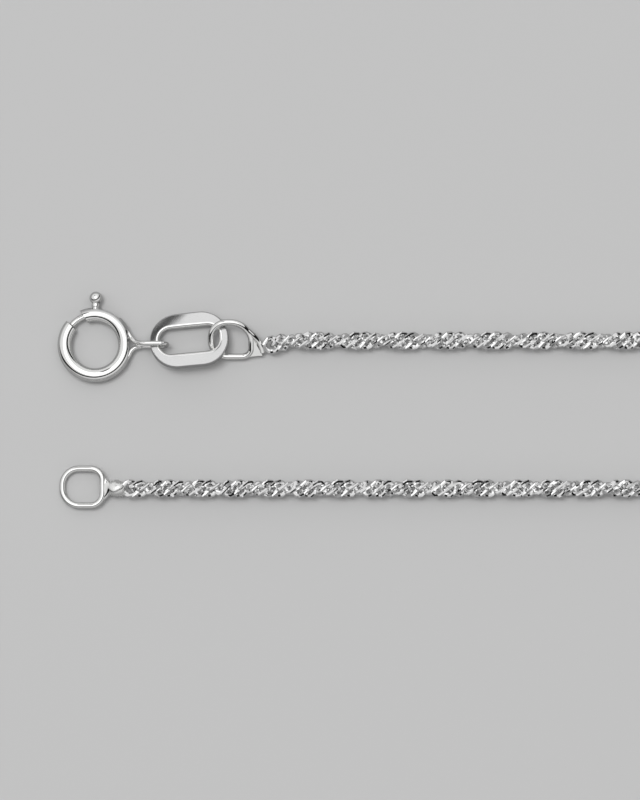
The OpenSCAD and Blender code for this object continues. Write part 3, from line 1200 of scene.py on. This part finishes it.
    @staticmethod
    def _turns(nodes: Nodes, given: NodeOutputs) -> NodeSocket:
        """Nodes for each link's rotation: along the route, turned on, and a little astray."""
        along = nodes.out("FunctionNodeAlignRotationToVector",
                          {"Vector": nodes.out("GeometryNodeInputTangent")}, axis="X", pivot_axis="Z")
        index = nodes.out("GeometryNodeInputIndex")
        gain = nodes.maths("SUBTRACT", given["Turn To"], given["Turn From"])
        share = nodes.maths("DIVIDE", index, nodes.maths("MULTIPLY", given["Count"], 2.0))
        rate = nodes.maths("ADD", given["Turn From"], nodes.maths("MULTIPLY", gain, share))
        spun = nodes.out("FunctionNodeAxisAngleToRotation", {
            "Axis": (1.0, 0.0, 0.0), "Angle": nodes.maths("MULTIPLY", rate, index)})
        turned = nodes.out("FunctionNodeRotateRotation", {0: along, 1: spun}, rotation_space="LOCAL")
        stray = nodes.out("FunctionNodeRandomValue", {"Seed": given["Seed"]}, data_type="FLOAT_VECTOR")
        either = nodes.out("ShaderNodeVectorMath", {0: stray, 1: (0.5, 0.5, 0.5)}, operation="SUBTRACT")
        scaled = nodes.out("ShaderNodeVectorMath", {
            0: either, "Scale": nodes.maths("MULTIPLY", given["Wobble"], 2.0)}, operation="SCALE")
        wobble = nodes.out("FunctionNodeEulerToRotation", {0: scaled})
        return nodes.out("FunctionNodeRotateRotation", {0: turned, 1: wobble}, rotation_space="LOCAL")

    def _lay(self, carrier: Object, settings: Sequence[tuple[str, str, object]]) -> None:
        """Lays the links along a curve, by a node group with named inputs.

        Args:
            carrier: the curve.
            settings: the group's inputs, from _settings.
        """
        tree = bpy.data.node_groups.new("links_along_route", "GeometryNodeTree")
        tree.interface.new_socket("Geometry", in_out="OUTPUT", socket_type="NodeSocketGeometry")
        tree.interface.new_socket("Geometry", in_out="INPUT", socket_type="NodeSocketGeometry")
        sockets = [tree.interface.new_socket(name, in_out="INPUT", socket_type=f"NodeSocket{kind}")
                   for name, kind, _ in settings]
        nodes = Nodes(tree)
        given = nodes.add("NodeGroupInput").outputs
        spaced = nodes.out("GeometryNodeResampleCurve",
                           {"Curve": given["Geometry"], "Count": given["Count"]}, mode="COUNT")
        placed = nodes.out("GeometryNodeInstanceOnPoints", {
            "Points": spaced, "Instance": self._link_shape(nodes, given),
            "Rotation": self._turns(nodes, given)})
        tone = nodes.add("FunctionNodeRandomValue", {"Seed": given["Seed"]}, data_type="FLOAT").outputs[1]
        noted = nodes.out("GeometryNodeStoreNamedAttribute", {
            "Geometry": placed, "Name": self.finish.tone_attribute, "Value": tone},
            data_type="FLOAT", domain="INSTANCE")
        real = nodes.out("GeometryNodeRealizeInstances", {"Geometry": noted})
        dressed = nodes.out("GeometryNodeSetMaterial", {"Geometry": real, "Material": given["Finish"]})
        nodes.add("NodeGroupOutput", {0: dressed})
        modifier = carrier.modifiers.new("links", "NODES")
        modifier.node_group = tree
        for socket, (_, _, value) in zip(sockets, settings):
            modifier[socket.identifier] = value

    def build(self) -> Object:
        """Lays the links along the route and makes one plain mesh of them."""
        route = self._route()
        length = sum((b - a).length for a, b in zip(route, route[1:]))
        count = round(length / self.pitch) + 1
        curve = bpy.data.curves.new("route", "CURVE")
        curve.dimensions = "3D"
        line = curve.splines.new("POLY")
        line.points.add(len(route) - 1)
        for point, place in zip(line.points, route):
            point.co = (*(place * MM), 1.0)
        carrier = put("route", curve)
        self._lay(carrier, self._settings(count))
        depsgraph = bpy.context.evaluated_depsgraph_get()
        mesh = bpy.data.meshes.new_from_object(carrier.evaluated_get(depsgraph), depsgraph=depsgraph)
        mesh.name = "twisted_links"
        bpy.data.objects.remove(carrier)
        LOG.info("%d links over %.1f mm", count, length)
        return show(mesh, "chain", Body.NECKLACE, [self.finish.material()], crease=30)


@dataclass
class Studio:
    """The pale floor, the soft light and the camera.

    Attributes:
        view_x: the picture's middle along X.
        view_y: the picture's middle along Y.
        view_h: the picture's height.
        camera_z: the camera's height.
        floor_tone: the floor's tone to the eye.
        core_way: direction of the softbox's bright middle.
        core_tones: brightness at an angle from there.
        shell_way: direction of the middle of the dark screen's arc.
        shell_tones: share of the light at an angle from there.
        spot_way: direction of a small dark screen.
        spot_tones: share of the light at an angle from there.
        backdrop_tone: brightness behind the floor.
        mirrored_floor: tone of the floor in the metal's reflections.
    """

    view_x: float = -69.756
    view_y: float = 1.082
    view_h: float = 58.91
    camera_z: float = 500.0
    sensor: float = 36.0
    floor_l: float = 6000.0
    floor_tone: float = 0.54
    floor_roughness: float = 0.7
    core_way: tuple[float, float, float] = (-0.08, 0.32, 1.0)
    core_tones: Table = (
        (0, 1.3), (24, 1.3), (31, 0.78), (66, 0.72), (92, 0.3), (180, 0.2),
    )
    shell_way: tuple[float, float, float] = (-0.33, 0.69, 0.643)
    shell_tones: Table = (
        (0, 1.0), (67, 1.0), (70, 0.02), (86, 0.02), (88.5, 1.0), (180, 1.0),
    )
    spot_way: tuple[float, float, float] = (-0.304, 0.652, 0.695)
    spot_tones: Table = ((0, 0.02), (7, 0.02), (10.5, 1.0), (180, 1.0))
    backdrop_tone: float = 0.5
    mirrored_floor: float = 0.3
    lamp_at: tuple[float, float, float] = (-0.9, 0.84, 3.0)
    lamp_size: float = 1.1
    lamp_power: float = 38.0

    def _floor(self) -> None:
        """Lays the floor under the necklace."""
        material = bpy.data.materials.new("pale_floor")
        material.use_nodes = True
        nodes = Nodes(material.node_tree)
        mirrored = nodes.add("ShaderNodeLightPath").outputs["Is Glossy Ray"]
        tone = nodes.out("ShaderNodeMapRange", {
            "Value": mirrored, "To Min": self.floor_tone, "To Max": self.mirrored_floor})
        nodes.feed(material.node_tree.nodes["Principled BSDF"], {
            "Roughness": self.floor_roughness, "Base Color": tone})
        draft = Draft()
        half = self.floor_l / 2
        corners = ((-1, -1), (1, -1), (1, 1), (-1, 1))
        draft.face(draft.row(Vector((x * half, y * half, 0)) for x, y in corners))
        mesh = draft.mesh("floor", Matrix.Identity(4))
        mesh.materials.append(material)
        put("floor", mesh)

    def _world(self) -> None:
        """Surrounds the scene with a softbox, a grey fill, a dark arc and a small dark screen."""
        world = bpy.data.worlds.new("studio")
        bpy.context.scene.world = world
        world.use_nodes = True
        nodes = Nodes(world.node_tree)
        place = nodes.add("ShaderNodeTexCoord").outputs["Generated"]
        core, shell, spot = (self._tones(nodes, place, way, stops) for way, stops in (
            (self.core_way, self.core_tones), (self.shell_way, self.shell_tones),
            (self.spot_way, self.spot_tones)))
        light = nodes.maths("MULTIPLY", nodes.maths("MULTIPLY", core, shell), spot)
        seen = nodes.add("ShaderNodeLightPath").outputs["Is Camera Ray"]
        shown = nodes.out("ShaderNodeMapRange", {
            "Value": seen, "To Min": light, "To Max": self.backdrop_tone})
        nodes.feed(world.node_tree.nodes["Background"], {"Color": shown})

    @staticmethod
    def _tones(
        nodes: Nodes, place: NodeSocket, way: Sequence[float],
        stops: Sequence[tuple[float, float]],
    ) -> NodeSocket:
        """Nodes for a brightness that depends on the angle from a direction.

        Args:
            nodes: the world's nodes.
            place: the direction looked in.
            way: the direction that the angle is measured from.
            stops: angles in degrees, each with its brightness.

        Returns:
            The brightness.
        """
        near = nodes.add("ShaderNodeVectorMath", {0: place, 1: tuple(Vector(way).normalized())},
                         operation="DOT_PRODUCT").outputs["Value"]
        share = nodes.maths("DIVIDE", nodes.maths("ARCCOSINE", near), math.pi)
        ramp = nodes.add("ShaderNodeValToRGB", {"Fac": share})
        line = ramp.color_ramp
        for angle, _ in stops[1:-1]:
            line.elements.new(angle / 180)
        for element, (angle, tone) in zip(line.elements, stops):
            element.position = angle / 180
            element.color = (tone, tone, tone, 1)
        return ramp.outputs["Color"]

    def _lamp(self) -> None:
        """Hangs one wide soft lamp, for the shadows, which the metal doesn't mirror."""
        light = bpy.data.lights.new("softbox", "AREA")
        light.size = self.lamp_size
        light.energy = self.lamp_power
        lamp = put("softbox", light)
        lamp.visible_glossy = False
        lamp.location = Vector(self.lamp_at)
        aim = Vector((self.view_x * MM, self.view_y * MM, 0)) - lamp.location
        lamp.rotation_euler = aim.to_track_quat("-Z", "Y").to_euler()

    def _camera(self) -> None:
        """Looks straight down, as the photograph does."""
        data = bpy.data.cameras.new("camera")
        data.sensor_width = self.sensor
        data.lens = self.sensor * self.camera_z / self.view_h
        camera = put("camera", data)
        camera.location = Vector((self.view_x, self.view_y, self.camera_z)) * MM
        bpy.context.scene.camera = camera

    def build(self) -> None:
        """Sets up floor, light and camera."""
        bpy.context.scene.view_settings.view_transform = "Standard"
        self._floor()
        self._world()
        self._lamp()
        self._camera()


def main() -> None:
    """Builds the necklace, piece by piece, in its studio, and notes its size."""
    logging.basicConfig(level=logging.INFO, format="%(message)s")
    Studio().build()
    layout = Layout()
    SpringRing(layout).build()
    Trigger(layout).build()
    OvalLink(layout).build()
    ClaspEndLoop(layout).build()
    Links(layout).build()
    TailEndLoop(layout).build()


if __name__ == "__main__":
    main()
